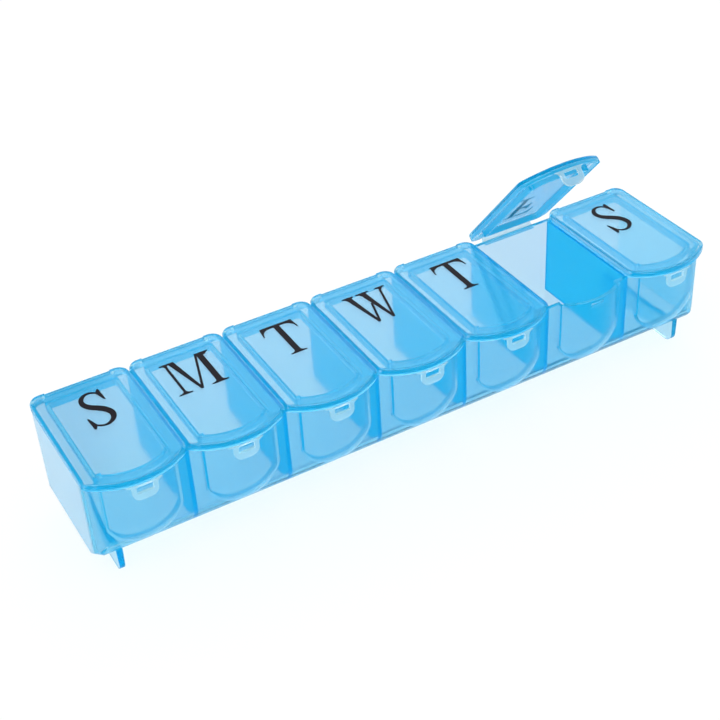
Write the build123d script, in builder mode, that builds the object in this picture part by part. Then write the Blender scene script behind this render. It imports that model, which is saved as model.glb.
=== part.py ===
from build123d import *
from math import asin, atan2, cos, degrees, radians, sin, sqrt
import os

# Weekly pill organizer: a seven-compartment tray with seven hinged, latching lids.
# Millimetres. X runs along the row of days, -Y is the front, where the latch tabs are,
# and Z is up from the surface that the feet stand on.

days = ["sunday", "monday", "tuesday", "wednesday", "thursday", "friday", "saturday"]
initials = {"sunday": "S", "monday": "M", "tuesday": "T", "wednesday": "W", "thursday": "T",
            "friday": "F", "saturday": "S"}
open_day = "friday"         # the one lid that stands open at rest
open_angle = 49.7           # degrees that this lid is open

# Row of lids
day_pitch = 28.0            # from one day to the next
lid_gap = 0.3               # between neighbouring lids

# Lid
lid_reach = 40.1            # its front corners in front of the tray's back face
lid_overhang = 0.9          # its back edge behind the tray's back face
lid_bow = 5.2               # the curved front's rise past the front corners
lid_end_extra = 0.4         # outer lids' extra width, up to the tray's end faces
lid_height = 2.2            # top face to the skirt's lower edge
lid_plate = 1.0
lid_skirt = 1.0             # thickness of the skirt round the plate
lid_edge_radius = 0.8       # rounding of the top edge
lid_back_corner = 3.3
lid_front_corner = 2.8
lip_inset = 3.65            # locating lip under the plate, from the lid's outline
lip_play = 0.3              # between the lip and the tray's front wall and bulge
lip_wall = 0.9
lip_depth = 2.0             # below the plate's underside
lid_seat_gap = 0.1          # between the closed skirt and the tray's rim

# Tray
tray_front_setback = 0.2    # flat front face behind the lids' front corners
tray_height = 26.4          # underside to rim
tray_wall = 1.2
tray_floor = 1.2
divider_wall = 1.2
tray_back_corner = 3.0
tray_front_corner = 4.0
tray_end_radius = 0.8       # lower edges at both ends
tray_front_radius = 6.5     # lower front edge
tray_back_radius = 8.0      # lower back edge
tray_least_radius = 0.4     # smallest rounding inside

# Bulges on the front, one for each compartment
bulge_inset = 1.4           # behind the lid's curved front
bulge_half_width = 10.6
bulge_wall = 1.0
bulge_bottom_radius = 11.3
bulge_bottom_rise = 4.2     # lowest point above the tray's underside
scoop_radius = 14.5         # how the bulge's face curves back towards its foot
scoop_start = 13.7          # where that curve starts, above the tray's underside

# Feet
foot_height = 6.7
foot_top_thickness = 1.8    # at the tray's underside
foot_thickness = 1.4        # at the table
foot_end_inset = 6.5        # middle of a foot inside the tray's end face
foot_front_setback = 2.2    # front edge behind the tray's flat front face
foot_back_setback = 4.0     # back edge in front of the tray's back face
foot_corner = 3.0           # rounding of the lower corners, seen from the end

# Living hinge: a leaf on the tray and a leaf on the lid, bent along the crease
hinge_width = 17.9
hinge_notch = 1.0           # how far the lid's back edge is set in for the hinge
hinge_notch_play = 0.4      # lid notch past the hinge on each side
crease_behind = 1.3         # crease behind the tray's back face
crease_below = 2.8          # crease below the closed lids' top face
crease_radius = 0.25
crease_gap = 0.1            # round the crease, between the bead and the lid's leaf
leaf_root = 0.5             # leaf thickness where it leaves the tray or the lid
leaf_tip = 0.3              # leaf thickness at the crease
tray_leaf_drop = 1.0        # tray leaf's root below the rim
lid_leaf_drop = 1.1         # lid leaf's root below the lid's top face

# Latch
tab_width = 7.0
tab_thickness = 0.8
tab_length = 4.9
tab_corner = 2.3
tab_root_gap = 0.12         # between the skirt's lower edge and the tab
tab_root_flare = 1.4        # how far the tab's root widens on each side
window_width = 4.6
window_drop = 0.6           # window's upper edge below the tab's root
window_height = 2.1
nub_width = 4.0
nub_drop = 0.75             # upper edge below the rim
nub_height = 1.6
nub_gap = 0.1               # between the nub's tip and the tab's back

# Day initials
letter_height = 15.1
letter_top = 6.2            # cap line in front of the tray's back face
letter_shift = 0.35         # to the right of the lid's middle
letter_relief = 0.12
stroke_thick = 1.75
stroke_thin = 0.72
bar_thick = 0.95
t_half = 4.9                # half the width of a T's bar
m_half = 7.2                # half the width of an M or W
arm_drop = 4.0              # how far the ends of a bar hang down
serif_half = 2.4            # half the width of a stem's foot
serif_edge = 0.45
serif_rise = 1.3            # where a serif's curve meets its stroke

# Worked out from the sizes above
day_count = len(days)
lid_width = day_pitch - lid_gap
lid_half = lid_width / 2
lid_radius = (lid_half**2 + lid_bow**2) / (2 * lid_bow)
bow_centre = lid_reach + lid_bow - lid_radius        # curved front's centre, in front of the tray's back face
tray_depth = lid_reach - tray_front_setback
tray_half = (day_count - 1) * day_pitch / 2 + lid_half + lid_end_extra
tray_under = foot_height
tray_rim = tray_under + tray_height
lid_top = tray_rim + lid_seat_gap + lid_height
crease_z = lid_top - crease_below
bulge_radius = lid_radius - bulge_inset
bulge_low = tray_under + bulge_bottom_rise

# The row stands with its middle on the origin, front to back, counted with the open lid's back edge.
lid_back = lid_overhang - crease_behind
edge_back = lid_back - lid_edge_radius
edge_up = crease_below - lid_edge_radius
turn = radians(open_angle)
reach_back = crease_behind + edge_back * cos(turn) + edge_up * sin(turn) + lid_edge_radius
reach_front = lid_reach + lid_bow
back_y = (reach_front - reach_back) / 2
bow_y = back_y - bow_centre
front_y = back_y - tray_depth
crease_y = back_y + crease_behind

os.makedirs("parts", exist_ok=True)


def day_x(day):
    return (days.index(day) - (day_count - 1) / 2) * day_pitch


def lid_frame(day):
    # Plane on the crease that turns with the lid: X along the row, Y to the lid's back, Z out of its top.
    angle = turn if day == open_day else 0.0
    return Plane(origin=(day_x(day), crease_y, crease_z), x_dir=(1, 0, 0), z_dir=(0, sin(angle), cos(angle)))


def side_plane(frame, x):
    # Plane across the row at x from the frame's middle: its X runs to the back, its Y up.
    return Plane(origin=frame.from_local_coords(Vector(x, 0, 0)), x_dir=frame.y_dir, z_dir=frame.x_dir)


def front_plane(x, y):
    # Upright plane that faces the front, with its origin on the table.
    return Plane(origin=(x, y, 0), x_dir=(1, 0, 0), z_dir=(0, -1, 0))


def save(name, part):
    part.label = name
    export_step(part, f"parts/{name}.step")


# Tray shell: a rounded box, made of its plan, its front view and its side view
def rounded_box(shrink, floor, top):
    half = tray_half - shrink
    with BuildPart() as box:
        with BuildSketch(Plane.XY.offset(floor)):
            with BuildLine():
                Polyline((-half, front_y + shrink), (half, front_y + shrink), (half, back_y - shrink),
                         (-half, back_y - shrink), close=True)
            make_face()
            fillet(vertices().group_by(Axis.Y)[-1], tray_back_corner - shrink)
            fillet(vertices().group_by(Axis.Y)[0], tray_front_corner - shrink)
        extrude(amount=top - floor)
        with BuildSketch(front_plane(0, back_y)):
            with BuildLine():
                Polyline((-half, floor), (half, floor), (half, top), (-half, top), close=True)
            make_face()
            fillet(vertices().group_by(Axis.Y)[0], max(tray_end_radius - shrink, tray_least_radius))
        extrude(amount=tray_depth, mode=Mode.INTERSECT)
        with BuildSketch(Plane(origin=(-tray_half, 0, 0), x_dir=(0, 1, 0), z_dir=(1, 0, 0))):
            with BuildLine():
                Polyline((front_y + shrink, floor), (back_y - shrink, floor), (back_y - shrink, top),
                         (front_y + shrink, top), close=True)
            make_face()
            low = vertices().group_by(Axis.Y)[0].sort_by(Axis.X)
            fillet(low[0], tray_front_radius - shrink)
            fillet(low[-1], tray_back_radius - shrink)
        extrude(amount=2 * tray_half, mode=Mode.INTERSECT)
    return box.part


# One bulge: a round-fronted drum whose face curves back below, cut to a U by a prism from the front
def bulge(x, shrink, top, start_y):
    radius = bulge_radius - shrink
    curve = scoop_radius - shrink
    curve_z = tray_under + scoop_start
    low = bulge_low + shrink
    drop = curve_z - low
    foot_radius = radius - curve + sqrt(curve**2 - drop**2)
    mid_radius = radius - curve + curve * cos(asin(drop / curve) / 2)
    mid_z = curve_z - curve * sin(asin(drop / curve) / 2)
    half = bulge_half_width - shrink
    round_radius = bulge_bottom_radius - shrink
    side_z = low + round_radius - sqrt(round_radius**2 - half**2)
    with BuildPart() as drum:
        with BuildSketch(front_plane(x, bow_y)):
            with BuildLine():
                Polyline((foot_radius, low), (0, low), (0, top), (radius, top), (radius, curve_z))
                ThreePointArc((radius, curve_z), (mid_radius, mid_z), (foot_radius, low))
            make_face()
        revolve(axis=Axis((x, bow_y, 0), (0, 0, 1)))
        with BuildSketch(front_plane(x, start_y)):
            with BuildLine():
                Polyline((-half, side_z), (-half, top), (half, top), (half, side_z))
                ThreePointArc((half, side_z), (0, low), (-half, side_z))
            make_face()
        extrude(amount=2 * radius, mode=Mode.INTERSECT)
    return drum.part


outer_box = rounded_box(0, tray_under, tray_rim)
inner_box = rounded_box(tray_wall, tray_under + tray_floor, lid_top)
outer_bulges = [bulge(day_x(day), 0, tray_rim, front_y + tray_wall / 2) for day in days]
inner_bulges = [bulge(day_x(day), bulge_wall, lid_top, front_y + 2 * tray_wall) for day in days]

with BuildPart() as tray:
    add(outer_box)
    add(outer_bulges)
    add(inner_box, mode=Mode.SUBTRACT)
    add(inner_bulges, mode=Mode.SUBTRACT)
    add(outer_box.fuse(*outer_bulges), mode=Mode.INTERSECT)
save("tray", tray.part)


# Dividers: upright walls between the days, cut to the shell's hollow
for day in days[1:]:
    with BuildPart() as divider:
        with BuildSketch(Plane.XY.offset(tray_under)):
            with Locations((day_x(day) - day_pitch / 2, back_y - tray_depth / 2)):
                Rectangle(divider_wall, tray_depth - 2 * tray_wall)
        extrude(amount=tray_height)
        add(inner_box, mode=Mode.INTERSECT)
    save(f"divider_{day}", divider.part)


# Feet: two upright tapered plates that run front to back and meet the tray's rounded underside
foot_root = tray_under + max(tray_front_radius, tray_back_radius)

for side, name in ((-1, "foot_left"), (1, "foot_right")):
    with BuildPart() as foot:
        with BuildSketch(front_plane(side * (tray_half - foot_end_inset), back_y - foot_back_setback)):
            with BuildLine():
                Polyline((-foot_thickness / 2, 0), (foot_thickness / 2, 0),
                         (foot_top_thickness / 2, tray_under), (foot_top_thickness / 2, foot_root),
                         (-foot_top_thickness / 2, foot_root), (-foot_top_thickness / 2, tray_under), close=True)
            make_face()
        extrude(amount=tray_depth - foot_back_setback - foot_front_setback)
        fillet(edges().filter_by(Axis.X).group_by(Axis.Z)[0], foot_corner)
        add(outer_box, mode=Mode.SUBTRACT)
    save(name, foot.part)


# Lid outline, drawn on the lid's own plane, with its origin over the crease
def lid_face(inset, left, right):
    # left and right are the extra widths on the two sides.
    start = inset - lid_half - left
    end = lid_half + right - inset
    radius = lid_radius - inset
    back = lid_back - inset
    centre = -crease_behind - bow_centre
    start_corner = centre - sqrt(radius**2 - start**2)
    end_corner = centre - sqrt(radius**2 - end**2)
    with BuildSketch() as face:
        with BuildLine():
            Polyline((start, start_corner), (start, back), (end, back), (end, end_corner))
            ThreePointArc((end, end_corner), (0, centre - radius), (start, start_corner))
        make_face()
        fillet(vertices().sort_by(Axis.Y)[-2:], max(lid_back_corner - inset, lip_wall))
        fillet(vertices().sort_by(Axis.Y)[:2], max(lid_front_corner - inset, lip_wall))
    return face.sketch


def lip_face(inset, narrower, left, right):
    # The lip follows the lid's outline, but in the bulge it is no wider than the bulge lets it be.
    shoulder = -crease_behind - tray_depth + tray_wall + lip_play + narrower
    slot = bulge_half_width - bulge_wall - lip_play - narrower
    with BuildSketch() as face:
        add(lid_face(inset + narrower, left, right))
        with Locations((0, shoulder)):
            for side in (-1, 1):
                with Locations((side * (slot + lid_half), -lid_half)):
                    Rectangle(2 * lid_half, 2 * lid_half, mode=Mode.SUBTRACT)
    return face.sketch


def notch_face(inset):
    # The strip that the hinge notch takes from the back of an outline.
    with BuildSketch() as face:
        with Locations((0, lid_back - inset)):
            Rectangle(hinge_width + 2 * (hinge_notch_play + inset), 2 * hinge_notch)
    return face.sketch


# Lid: a plate with a skirt round it and a locating lip below it
for day in days:
    frame = lid_frame(day)
    left = lid_end_extra if day == days[0] else 0.0
    right = lid_end_extra if day == days[-1] else 0.0
    with BuildPart() as lid:
        with BuildSketch(frame.offset(crease_below - lid_height)):
            add(lid_face(0, left, right))
        extrude(amount=lid_height)
        top_face = lid.faces().sort_by(Axis(frame.origin, frame.z_dir))[-1]
        fillet(top_face.edges(), lid_edge_radius)
        with BuildSketch(frame.offset(crease_below - lid_height)):
            add(notch_face(0))
        extrude(amount=lid_height, mode=Mode.SUBTRACT)
        with BuildSketch(frame.offset(crease_below - lid_height)):
            add(lid_face(lid_skirt, left, right))
            add(notch_face(lid_skirt), mode=Mode.SUBTRACT)
        extrude(amount=lid_height - lid_plate, mode=Mode.SUBTRACT)
        with BuildSketch(frame.offset(crease_below - lid_plate - lip_depth)):
            add(lip_face(lip_inset, 0, left, right))
            add(lip_face(lip_inset, lip_wall, left, right), mode=Mode.SUBTRACT)
        extrude(amount=lip_depth)
    save(f"lid_{day}", lid.part)


# Living hinge leaves, drawn across the row: X to the back and Y up, with the origin on the crease
def leaf_lines(root_y, root_z, start):
    # Corners of a leaf from near the crease to an upright face at root_y, where its middle is at root_z.
    slope = atan2(root_z, root_y)
    across = (-sin(slope), cos(slope))
    near = (start * cos(slope), start * sin(slope))
    rise = leaf_root / 2 / abs(cos(slope))
    return [(near[0] + across[0] * leaf_tip / 2, near[1] + across[1] * leaf_tip / 2),
            (root_y, root_z - rise), (root_y, root_z + rise),
            (near[0] - across[0] * leaf_tip / 2, near[1] - across[1] * leaf_tip / 2)]


for day in days:
    place = Plane(origin=(day_x(day), crease_y, crease_z))
    with BuildPart() as tray_leaf:
        with BuildSketch(side_plane(place, -hinge_width / 2)):
            with BuildLine():
                Polyline(*leaf_lines(-crease_behind, tray_rim - tray_leaf_drop - crease_z, 0), close=True)
            make_face()
            Circle(crease_radius)
        extrude(amount=hinge_width)
    save(f"hinge_tray_leaf_{day}", tray_leaf.part)

    with BuildPart() as lid_leaf:
        with BuildSketch(side_plane(lid_frame(day), -hinge_width / 2)):
            with BuildLine():
                Polyline(*leaf_lines(lid_back - hinge_notch, crease_below - lid_leaf_drop, crease_radius),
                         close=True)
            make_face()
            Circle(crease_radius + crease_gap, mode=Mode.SUBTRACT)
        extrude(amount=hinge_width)
    save(f"hinge_lid_leaf_{day}", lid_leaf.part)


# Latch tab: a plate below the middle of the lid's curved front, with a window for the nub
tab_front = -crease_behind - lid_reach - lid_bow
tab_root = crease_below - lid_height - tab_root_gap

for day in days:
    frame = lid_frame(day)
    tab_plane = Plane(origin=frame.from_local_coords(Vector(0, tab_front + tab_thickness, 0)),
                      x_dir=frame.x_dir, z_dir=-frame.y_dir)
    with BuildPart() as tab:
        with BuildSketch(tab_plane):
            with BuildLine():
                half = tab_width / 2
                foot = tab_root - tab_length
                RadiusArc((-half - tab_root_flare, tab_root), (-half, tab_root - tab_root_flare), tab_root_flare)
                Polyline((-half, tab_root - tab_root_flare), (-half, foot + tab_corner))
                RadiusArc((-half, foot + tab_corner), (-half + tab_corner, foot), -tab_corner)
                Polyline((-half + tab_corner, foot), (half - tab_corner, foot))
                RadiusArc((half - tab_corner, foot), (half, foot + tab_corner), -tab_corner)
                Polyline((half, foot + tab_corner), (half, tab_root - tab_root_flare))
                RadiusArc((half, tab_root - tab_root_flare), (half + tab_root_flare, tab_root), tab_root_flare)
                Polyline((half + tab_root_flare, tab_root), (-half - tab_root_flare, tab_root))
            make_face()
            with Locations((0, tab_root - window_drop - window_height / 2)):
                RectangleRounded(window_width, window_height, stroke_thin / 2, mode=Mode.SUBTRACT)
        extrude(amount=tab_thickness)
    save(f"latch_tab_{day}", tab.part)


# Catch nub: a small wedge on the bulge that the latch tab's window lies over
nub_face = bow_y - bulge_radius
nub_tip = back_y - lid_reach - lid_bow + tab_thickness + nub_gap
nub_top = tray_rim - nub_drop

for day, drum in zip(days, outer_bulges):
    with BuildPart() as nub:
        with BuildSketch(Plane(origin=(day_x(day) - nub_width / 2, 0, 0), x_dir=(0, 1, 0), z_dir=(1, 0, 0))):
            with BuildLine():
                Polyline((nub_tip, nub_top), (nub_face + tray_wall, nub_top),
                         (nub_face + tray_wall, nub_top - nub_height),
                         (nub_face, nub_top - nub_height), close=True)
            make_face()
        extrude(amount=nub_width)
        add(drum, mode=Mode.SUBTRACT)
    save(f"catch_nub_{day}", nub.part)


# Day initials: upright letters of thick and thin strokes with curved serifs, drawn on their base line
def stroke(*points):
    with BuildSketch() as face:
        with BuildLine():
            Polyline(*points, close=True)
        make_face()
    return face.sketch


def stem(x, width):
    return stroke((x - width / 2, 0), (x + width / 2, 0), (x + width / 2, letter_height),
                  (x - width / 2, letter_height))


def slant(low, x0, high, x1, width, low_width):
    # A leaning stroke from x0 at the height low to x1 at the height high.
    return stroke((x0 - low_width / 2, low), (x0 + low_width / 2, low), (x1 + width / 2, high),
                  (x1 - width / 2, high))


def foot_serif(x, half, stem_width, level=0.0, up=1):
    # A flat serif across the end of a stroke, with a curve up to the stroke on each side.
    edge = level + up * serif_edge
    root = level + up * serif_rise
    with BuildSketch() as face:
        with BuildLine():
            Polyline((x - half, edge), (x - half, level), (x + half, level), (x + half, edge))
            ThreePointArc((x + half, edge), (x + (half + stem_width) / 3, edge + up * serif_edge / 2),
                          (x + stem_width / 2, root))
            Line((x + stem_width / 2, root), (x - stem_width / 2, root))
            ThreePointArc((x - stem_width / 2, root), (x - (half + stem_width) / 3, edge + up * serif_edge / 2),
                          (x - half, edge))
        make_face()
    return face.sketch


def arm(x0, x1, drop):
    # Half of a top bar, from x0 out to x1, whose end hangs down by drop.
    side = 1 if x1 > x0 else -1
    with BuildSketch() as face:
        with BuildLine():
            Polyline((x0, letter_height - bar_thick), (x0, letter_height), (x1, letter_height),
                     (x1 + side * serif_edge, letter_height - drop), (x1, letter_height - drop))
            ThreePointArc((x1, letter_height - drop), (x1 - side * drop / 4, letter_height - drop * 0.4),
                          (x1 - side * drop * 0.7, letter_height - bar_thick))
            Line((x1 - side * drop * 0.7, letter_height - bar_thick), (x0, letter_height - bar_thick))
        make_face()
    return face.sketch


def letter_t():
    return [stem(0, stroke_thick), arm(0, -t_half, arm_drop), arm(0, t_half, arm_drop),
            foot_serif(0, serif_half, stroke_thick)]


def letter_f():
    left = -t_half * 0.4
    middle = letter_height * 0.5
    end = t_half * 0.5
    return [stem(left, stroke_thick), arm(left, t_half, arm_drop),
            stroke((left, middle), (end, middle), (end, middle + bar_thick), (left, middle + bar_thick)),
            stroke((end - serif_edge, middle - stroke_thick), (end, middle - stroke_thick),
                   (end, middle + bar_thick + stroke_thick), (end - serif_edge, middle + bar_thick + stroke_thick),
                   (end - stroke_thick, middle + bar_thick), (end - stroke_thick, middle)),
            foot_serif(left, serif_half, stroke_thick),
            foot_serif(left, serif_half, stroke_thick, letter_height, -1)]


def letter_m():
    thin, thick, vertex = -m_half * 0.8, m_half * 0.6, -m_half * 0.15
    return [stem(thin, stroke_thin), stem(thick, stroke_thick),
            slant(0, vertex, letter_height, thin + stroke_thick, stroke_thick, stroke_thin),
            slant(0, vertex, letter_height, thick - stroke_thick / 2, stroke_thin, stroke_thin),
            foot_serif(thin, serif_half * 0.8, stroke_thin), foot_serif(thick, serif_half, stroke_thick),
            foot_serif(thin, serif_half * 0.65, stroke_thin, letter_height, -1),
            foot_serif(thick + stroke_thick / 2, serif_half * 0.75, stroke_thick, letter_height, -1)]


def letter_w():
    first, second, third = -m_half * 0.65, 0.0, m_half * 0.8
    low_first, low_second = -m_half * 0.35, m_half * 0.28
    return [slant(0, low_first, letter_height, first, stroke_thick, stroke_thin),
            slant(0, low_first, letter_height * 0.6, second, stroke_thin, stroke_thin),
            slant(0, low_second, letter_height, second, stroke_thick, stroke_thin),
            slant(0, low_second, letter_height, third, stroke_thin, stroke_thin),
            foot_serif(first, serif_half * 0.75, stroke_thick, letter_height, -1),
            foot_serif(second, serif_half * 0.85, stroke_thick, letter_height, -1),
            foot_serif(third, serif_half * 0.65, stroke_thin, letter_height, -1)]


# The S as a bent stroke: its middle line's x and y and its half thickness, in letter heights
bend = [(0.185, 0.76, 0.01), (0.125, 0.925, 0.018), (0.0, 0.985, 0.025), (-0.13, 0.92, 0.04),
        (-0.185, 0.77, 0.048), (-0.12, 0.615, 0.06), (0.02, 0.495, 0.066), (0.135, 0.365, 0.062),
        (0.178, 0.215, 0.055), (0.105, 0.06, 0.04), (-0.035, -0.004, 0.025), (-0.17, 0.06, 0.018),
        (-0.235, 0.235, 0.01)]


def letter_s():
    sides = ([], [])
    for index, (x, y, half) in enumerate(bend):
        before = bend[max(index - 1, 0)]
        after = bend[min(index + 1, len(bend) - 1)]
        along = atan2(after[1] - before[1], after[0] - before[0])
        for side, way in zip(sides, (1, -1)):
            side.append((letter_height * (x - way * half * sin(along)),
                         letter_height * (y + way * half * cos(along))))
    with BuildSketch() as face:
        with BuildLine():
            upper = Spline(*sides[0])
            lower = Spline(*sides[1])
            Line(upper @ 0, lower @ 0)
            Line(upper @ 1, lower @ 1)
        make_face()
    # The serifs stand upright at both ends of the bend, one above the other side's mirror image.
    high = letter_height
    upper_end = [(0.175, 1.01), (0.21, 1.01), (0.225, 0.68), (0.195, 0.68), (0.12, 0.92)]
    lower_end = [(-0.215, -0.03), (-0.25, -0.03), (-0.27, 0.3), (-0.24, 0.3), (-0.165, 0.07)]
    return [face.sketch, stroke(*[(x * high, y * high) for x, y in upper_end]),
            stroke(*[(x * high, y * high) for x, y in lower_end])]


drawings = {"S": letter_s, "M": letter_m, "T": letter_t, "W": letter_w, "F": letter_f}

for day in days:
    frame = lid_frame(day)
    base = Plane(origin=frame.from_local_coords(
        Vector(letter_shift, -crease_behind - letter_top - letter_height, crease_below)),
        x_dir=frame.x_dir, z_dir=frame.z_dir)
    with BuildPart() as letter:
        with BuildSketch(base):
            add(drawings[initials[day]]())
        extrude(amount=letter_relief)
    save(f"letter_{day}", letter.part)

print("row", round(2 * tray_half, 2), "front to back", round(reach_front + reach_back, 2),
      "crease", round(crease_y, 3), round(crease_z, 3), "back face", round(back_y, 3),
      "curve", round(degrees(atan2(lid_half, lid_radius)), 1))
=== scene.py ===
import bmesh
import bpy
from math import cos, pi, radians, sin
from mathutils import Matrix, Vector
from mathutils.bvhtree import BVHTree
from mathutils.interpolate import poly_3d_calc


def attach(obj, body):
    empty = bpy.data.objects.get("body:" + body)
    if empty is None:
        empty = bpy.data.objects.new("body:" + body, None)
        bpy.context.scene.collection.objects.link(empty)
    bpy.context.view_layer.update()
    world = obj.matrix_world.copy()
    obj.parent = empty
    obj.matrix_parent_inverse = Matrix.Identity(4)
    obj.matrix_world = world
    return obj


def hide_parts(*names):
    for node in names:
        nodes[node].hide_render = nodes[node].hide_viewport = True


# Weekly pill organizer in translucent blue plastic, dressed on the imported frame. Metres.
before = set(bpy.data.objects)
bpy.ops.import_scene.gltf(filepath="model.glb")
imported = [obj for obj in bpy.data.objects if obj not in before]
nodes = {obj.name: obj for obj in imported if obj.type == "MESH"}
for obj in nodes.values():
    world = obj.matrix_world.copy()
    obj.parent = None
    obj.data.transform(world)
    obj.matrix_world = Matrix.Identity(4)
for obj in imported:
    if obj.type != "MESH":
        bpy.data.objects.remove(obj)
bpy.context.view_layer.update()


class Shade:
    # wraps a socket, so that shader maths reads as Python
    def __init__(self, finish, socket):
        self.finish = finish
        self.socket = socket

    def maths(self, operation, other, flipped=False):
        first, second = (other, self) if flipped else (self, other)
        return self.finish.node("ShaderNodeMath", {"operation": operation}, {0: first, 1: second})

    def __add__(self, other):
        return self.maths("ADD", other)

    def __radd__(self, other):
        return self.maths("ADD", other, True)

    def __sub__(self, other):
        return self.maths("SUBTRACT", other)

    def __rsub__(self, other):
        return self.maths("SUBTRACT", other, True)

    def __mul__(self, other):
        return self.maths("MULTIPLY", other)

    def __rmul__(self, other):
        return self.maths("MULTIPLY", other, True)

    def clamped(self):
        return self.finish.node("ShaderNodeClamp", {}, {0: self})


class Finish:
    # the nodes of one material, or of the world, with its output ready
    def __init__(self, data):
        self.data = data
        self.data.use_nodes = True
        self.tree = self.data.node_tree
        self.shader = self.tree.nodes.get("Principled BSDF")
        ends = [node for node in self.tree.nodes if "Surface" in node.inputs and not node.outputs]
        self.output = ends[0]

    def put(self, node, values):
        for key, value in values.items():
            if isinstance(value, Shade):
                self.tree.links.new(value.socket, node.inputs[key])
            else:
                node.inputs[key].default_value = value

    def node(self, kind, settings=None, values=None, out=0):
        made = self.tree.nodes.new(kind)
        for key, value in (settings or {}).items():
            setattr(made, key, value)
        self.put(made, values or {})
        return Shade(self, made.outputs[out])

    def rays(self, kinds):
        # 1 for the kinds of ray named, and 0 for the others
        share = self.node("ShaderNodeLightPath", out=kinds[0])
        for kind in kinds[1:]:
            share = share.maths("MAXIMUM", self.node("ShaderNodeLightPath", out=kind))
        return share

    def mixed(self, factor, first, second):
        # a Mix Shader: the second shader's share is the factor
        return self.node("ShaderNodeMixShader", {}, {0: factor, 1: first, 2: second})

    def blended(self, mask, first, second):
        # one colour turning into another where the mask is 1
        values = {0: mask, 6: first, 7: second}
        return self.node("ShaderNodeMix", {"data_type": "RGBA"}, values, out=2)

    def along(self, axis):
        # distance along an axis, in metres
        place = self.node("ShaderNodeTexCoord", out="Object")
        settings = {"operation": "DOT_PRODUCT"}
        return self.node("ShaderNodeVectorMath", settings, {0: place, 1: axis}, out=1)

    def roughness(self, look):
        # made a little uneven by a fine grain
        place = self.node("ShaderNodeTexCoord", out="Object")
        values = {"Vector": place, "Scale": look["grain"], "Detail": look["grainDetail"]}
        noise = self.node("ShaderNodeTexNoise", {}, values)
        return look["roughness"] + look["grainDepth"] * noise


plastic = {
    "tint": (1.0, 0.95, 0.985, 1),
    "absorb": (0.0, 0.93, 1.0, 1),
    "density": 120.0,
    "milk": (0.0, 0.5, 0.92, 1),
    "milkShare": 0.2,
    "milkThrough": 0.5,
    "specular": (0.1, 0.9, 1.0, 1),
    "roughness": 0.1,
    "grain": 900.0,
    "grainDetail": 3.0,
    "grainDepth": 0.05,
    "ior": 1.36,
    "shadow": (0.85, 0.985, 1.0, 1),
    "clearTo": ["Is Shadow Ray", "Is Diffuse Ray"],
}


def makePlastic(name, look, zones=()):
    # a zone lies beyond a distance along an axis. It has its own share of milk, and a tint or a
    # milk of its own where it names one.
    finish = Finish(bpy.data.materials.new(name))
    tint, share = look["tint"], look["milkShare"]
    front = finish.node("ShaderNodeBsdfDiffuse", {}, {"Color": look["milk"]})
    behind = finish.node("ShaderNodeBsdfTranslucent", {}, {"Color": look["milk"]})
    milk = finish.mixed(look["milkThrough"], front, behind)
    for zone in zones:
        mask = ((finish.along(zone["axis"]) - zone["from"]) * (1 / zone["blend"])).clamped()
        if "tint" in zone:
            tint = finish.blended(mask, tint, zone["tint"])
        if "milk" in zone:
            zoneMilk = finish.node("ShaderNodeBsdfDiffuse", {}, {"Color": zone["milk"]})
            milk = finish.mixed(mask, milk, zoneMilk)
        share = share + mask * (zone["share"] - share)
    finish.put(finish.shader, {
        "Base Color": tint,
        "Roughness": finish.roughness(look),
        "IOR": look["ior"],
        "Specular Tint": look["specular"],
        "Transmission Weight": 1.0,
    })
    body = finish.mixed(share, Shade(finish, finish.shader.outputs[0]), milk)
    # light reaches the inside and the floor through the plastic, losing a little colour
    clear = finish.node("ShaderNodeBsdfTransparent", {}, {"Color": look["shadow"]})
    surface = finish.mixed(finish.rays(look["clearTo"]), body, clear)
    depths = {"Color": look["absorb"], "Density": look["density"]}
    inside = finish.node("ShaderNodeVolumeAbsorption", {}, depths)
    finish.put(finish.output, {"Surface": surface, "Volume": inside})
    return finish.data


def dress(name, material):
    data = nodes[name].data
    data.materials.clear()
    data.materials.append(material)


# The tray and its feet: the end walls are the palest, a painted reflection of white light, and
# the front is a little milkier
tray = {**plastic, "density": 165.0, "milk": (0.0, 0.54, 0.94, 1)}
# painted reflection: both end walls get a large share of pale milk, lighter as if they mirrored
# white light
endWallPaintedReflection = {"from": 0.0979, "blend": 0.0002, "share": 0.5, "milk": (0.56, 0.74, 0.9, 1)}
trayZones = [
    {"axis": (0, -1, 0), "from": 0.0172, "blend": 0.0003, "share": 0.28},
    {"axis": (1, 0, 0), **endWallPaintedReflection},
    {"axis": (-1, 0, 0), **endWallPaintedReflection},
]
trayPlastic = makePlastic("trayPlastic", tray, trayZones)

# Dividers are the deepest in colour, painted shade standing in for light that has run along them
divider = {**plastic, "density": 1500.0, "milk": (0.0, 0.62, 1.0, 1), "milkShare": 0.35}
dividerPaintedShadePlastic = makePlastic("dividerPaintedShadePlastic", divider)

# Lids: the skirt and the lip, below the plate, are deeper in colour and milkier than the plate,
# painted shade for walls seen edge-on
lid = {
    "rimPaintedShadeTint": (0.7, 0.95, 0.99, 1),
    "rimPaintedShadeShare": 0.4,
    "rimTop": 0.0018,
    "rimBlend": 0.0004,
    "creaseY": 0.022525,
    "creaseZ": 0.0326,
    "openDay": "friday",
    "openAngle": radians(49.7),
}


def paintedShadeRimZone(turn):
    # the rim of a lid that is turned back about its crease, where painted shade deepens the
    # colour
    level = lid["creaseY"] * sin(turn) + lid["creaseZ"] * cos(turn) + lid["rimTop"]
    return {
        "axis": (0, -sin(turn), -cos(turn)),
        "from": -level,
        "blend": lid["rimBlend"],
        "tint": lid["rimPaintedShadeTint"],
        "share": lid["rimPaintedShadeShare"],
    }


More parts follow.
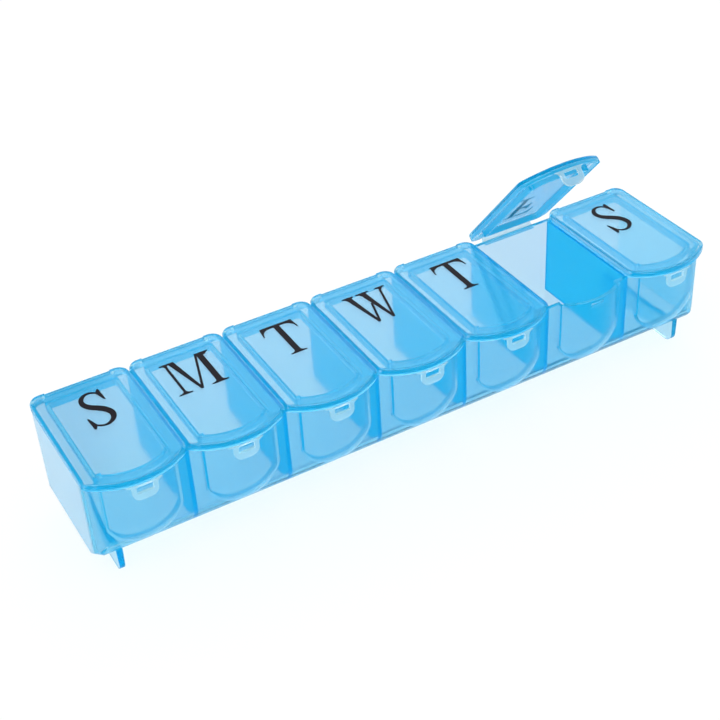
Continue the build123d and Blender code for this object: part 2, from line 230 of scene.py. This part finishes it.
lidPlastic = makePlastic("lidPlastic", plastic, [paintedShadeRimZone(0.0)])
openLidPlastic = makePlastic("openLidPlastic", plastic, [paintedShadeRimZone(lid["openAngle"])])

# Tabs and hinges are thin and nearly clear
clear = {**plastic, "density": 50.0, "milk": (0.7, 0.87, 1.0, 1), "milkShare": 0.42}
clearPlastic = makePlastic("clearPlastic", clear)

ink = {
    "colour": (0.007, 0.005, 0.009, 1),
    "roughness": 0.45,
    "grain": 1500.0,
    "grainDetail": 3.0,
    "grainDepth": 0.1,
    "shine": 0.08,
}


def makeInk():
    finish = Finish(bpy.data.materials.new("blackPrint"))
    finish.put(finish.shader, {
        "Base Color": ink["colour"],
        "Roughness": finish.roughness(ink),
        "Specular IOR Level": ink["shine"],
    })
    return finish.data


blackInk = makeInk()
for name in nodes:
    if name.startswith("letter"):
        dress(name, blackInk)
    elif name.startswith("latch") or name.startswith("hinge"):
        dress(name, clearPlastic)
    elif name.startswith("divider"):
        dress(name, dividerPaintedShadePlastic)
    elif name == "lid_" + lid["openDay"]:
        dress(name, openLidPlastic)
    elif name.startswith("lid"):
        dress(name, lidPlastic)
    else:
        dress(name, trayPlastic)
print("finishes done")

# The tray's lower front corners are round. A cutter with a hollow round edge takes each one off.
corner = {
    "radius": 0.0055,
    "planRadius": 0.004,
    "endX": 0.09825,
    "frontY": -0.018675,
    "under": 0.0067,
    "width": 0.04,
    "spare": 0.003,
    "sides": 96,
    "merge": 1e-6,
    "onSurface": 2e-6,
}


def outwards(side):
    return Vector((side, -1, 0)).normalized()


def planMiddle(side):
    # the middle of the corner's rounding, seen from above
    inset = corner["planRadius"]
    return Vector((side * (corner["endX"] - inset), corner["frontY"] + inset, 0))


def bendMiddle(side):
    # the middle of the bend from the underside up to the corner's upright edge
    reach = corner["planRadius"] - corner["radius"]
    height = corner["under"] + corner["radius"]
    return planMiddle(side) + outwards(side) * reach + Vector((0, 0, height))


def cutAway(piece, cutter):
    cut = piece.modifiers.new("cut", "BOOLEAN")
    cut.operation = "DIFFERENCE"
    cut.solver = "EXACT"
    cut.object = cutter
    bpy.context.view_layer.objects.active = piece
    bpy.ops.object.modifier_apply(modifier=cut.name)
    bpy.data.objects.remove(cutter)


def makeCutter(side):
    # a block over the corner, less a cylinder that lies across it
    middle, turn = bendMiddle(side), side * pi / 4
    depth = corner["radius"] + corner["spare"]
    bpy.ops.object.select_all(action="DESELECT")
    bpy.ops.mesh.primitive_cube_add(
        size=1,
        location=middle + (outwards(side) - Vector((0, 0, 1))) * depth / 2,
        rotation=(0, 0, turn),
        scale=(corner["width"], depth, depth),
    )
    block = bpy.context.object
    bpy.ops.mesh.primitive_cylinder_add(
        vertices=corner["sides"],
        radius=corner["radius"],
        depth=corner["width"] + corner["spare"],
        location=middle,
        rotation=(0, pi / 2, turn),
    )
    cutAway(block, bpy.context.object)
    return block


def mergedCopy(source):
    # the CAD node's loose triangles as one closed mesh
    mesh = source.copy()
    form = bmesh.new()
    form.from_mesh(mesh)
    bmesh.ops.remove_doubles(form, verts=form.verts, dist=corner["merge"])
    form.to_mesh(mesh)
    form.free()
    return mesh


def plainNormal(source, triangle, point):
    # the CAD surface's own normal at a point on one of its triangles
    corners = [source.vertices[i].co for i in source.polygons[triangle].vertices]
    shares = poly_3d_calc(corners, point)
    normals = [source.corner_normals[i].vector for i in source.polygons[triangle].loop_indices]
    return sum((normal * share for normal, share in zip(normals, shares)), Vector()).normalized()


def cutNormal(point):
    # the round edge's normal, away from the middle line of its bend
    side = 1 if point.x > 0 else -1
    offset = point - bendMiddle(side)
    return (outwards(side) * offset.dot(outwards(side)) + Vector((0, 0, offset.z))).normalized()


def setNormals(mesh, source):
    # every face that the cutters left keeps the CAD surface's normals
    places = [vertex.co for vertex in source.vertices]
    surface = BVHTree.FromPolygons(places, [face.vertices for face in source.polygons])
    normals = []
    for face in mesh.polygons:
        face.use_smooth = True
        triangle, gap = surface.find_nearest(face.center)[2:]
        kept = gap < corner["onSurface"]
        for i in face.vertices:
            point = mesh.vertices[i].co
            normals.append(plainNormal(source, triangle, point) if kept else cutNormal(point))
    mesh.normals_split_custom_set(normals)


def roundTray():
    source = nodes["tray"].data
    rounded = bpy.data.objects.new("roundedTray", mergedCopy(source))
    bpy.context.scene.collection.objects.link(rounded)
    for side in [-1, 1]:
        cutAway(rounded, makeCutter(side))
    setNormals(rounded.data, source)
    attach(rounded, "tray")
    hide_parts("tray")


roundTray()
print("tray corners done")


# Room: a white floor, an even white world and two soft lamps. The background is plain white to
# the camera, through the plastic and in its reflections.
room = {
    "floor": (0.95, 0.95, 0.95, 1),
    "floorRoughness": 0.9,
    "floorSize": 6.0,
    "floorLevel": -0.0001,
    "world": 0.92,
    "white": (1, 1, 1, 1),
    "bright": 1.0,
    "plain": 0.8,
    "seenBy": ["Is Camera Ray", "Is Transmission Ray", "Is Glossy Ray"],
    "lampAim": (0, 0, 0.02),
    "bounces": 24,
    "clearBounces": 32,
}
lamps = {
    "keyLamp": {"place": (-0.5, -0.45, 0.9), "size": (0.6, 0.6), "power": 2.5},
    "backLamp": {"place": (0.4, 0.7, 0.7), "size": (0.6, 0.4), "power": 1.5},
}
view = {
    "lens": 71.15,
    "sensor": 36.0,
    "nearest": 0.01,
    "place": (-0.15891, -0.284385, 0.26409),
    "turn": (53.2767, 2.9313, -29.9312),
}


def makeFloor():
    bpy.ops.object.select_all(action="DESELECT")
    bpy.ops.mesh.primitive_plane_add(size=room["floorSize"], location=(0, 0, room["floorLevel"]))
    floor = bpy.context.object
    floor.name = "floor"
    finish = Finish(bpy.data.materials.new("floorWhite"))
    finish.put(finish.shader, {"Base Color": room["floor"], "Roughness": room["floorRoughness"]})
    # most of its brightness is plain white, and the rest keeps the shadow
    glow = {"Color": room["white"], "Strength": room["bright"]}
    white = finish.node("ShaderNodeEmission", {}, glow)
    share = finish.rays(room["seenBy"]) * room["plain"]
    surface = finish.mixed(share, Shade(finish, finish.shader.outputs[0]), white)
    finish.put(finish.output, {"Surface": surface})
    floor.data.materials.append(finish.data)


def makeWorld():
    world = bpy.data.worlds.new("studio")
    bpy.context.scene.world = world
    finish = Finish(world)
    light = {"Color": room["white"], "Strength": room["world"]}
    backdrop = {"Color": room["white"], "Strength": room["bright"]}
    dim = finish.node("ShaderNodeBackground", {}, light)
    bright = finish.node("ShaderNodeBackground", {}, backdrop)
    finish.put(finish.output, {"Surface": finish.mixed(finish.rays(room["seenBy"]), dim, bright)})


def makeLamp(name, lamp):
    light = bpy.data.lights.new(name, "AREA")
    light.shape = "RECTANGLE"
    light.size, light.size_y = lamp["size"]
    light.energy = lamp["power"]
    made = bpy.data.objects.new(name, light)
    bpy.context.scene.collection.objects.link(made)
    made.location = lamp["place"]
    aim = Vector(room["lampAim"]) - Vector(lamp["place"])
    made.rotation_euler = aim.to_track_quat("-Z", "Y").to_euler()


def makeCamera():
    data = bpy.data.cameras.new("camera")
    data.lens = view["lens"]
    data.sensor_width = view["sensor"]
    data.clip_start = view["nearest"]
    camera = bpy.data.objects.new("camera", data)
    bpy.context.scene.collection.objects.link(camera)
    camera.location = view["place"]
    camera.rotation_euler = [radians(angle) for angle in view["turn"]]
    bpy.context.scene.camera = camera


makeFloor()
makeWorld()
for name, lamp in lamps.items():
    makeLamp(name, lamp)
makeCamera()
scene = bpy.context.scene
scene.view_settings.view_transform = "Standard"
scene.cycles.max_bounces = room["bounces"]
scene.cycles.transmission_bounces = room["bounces"]
scene.cycles.transparent_max_bounces = room["clearBounces"]
print("room done")
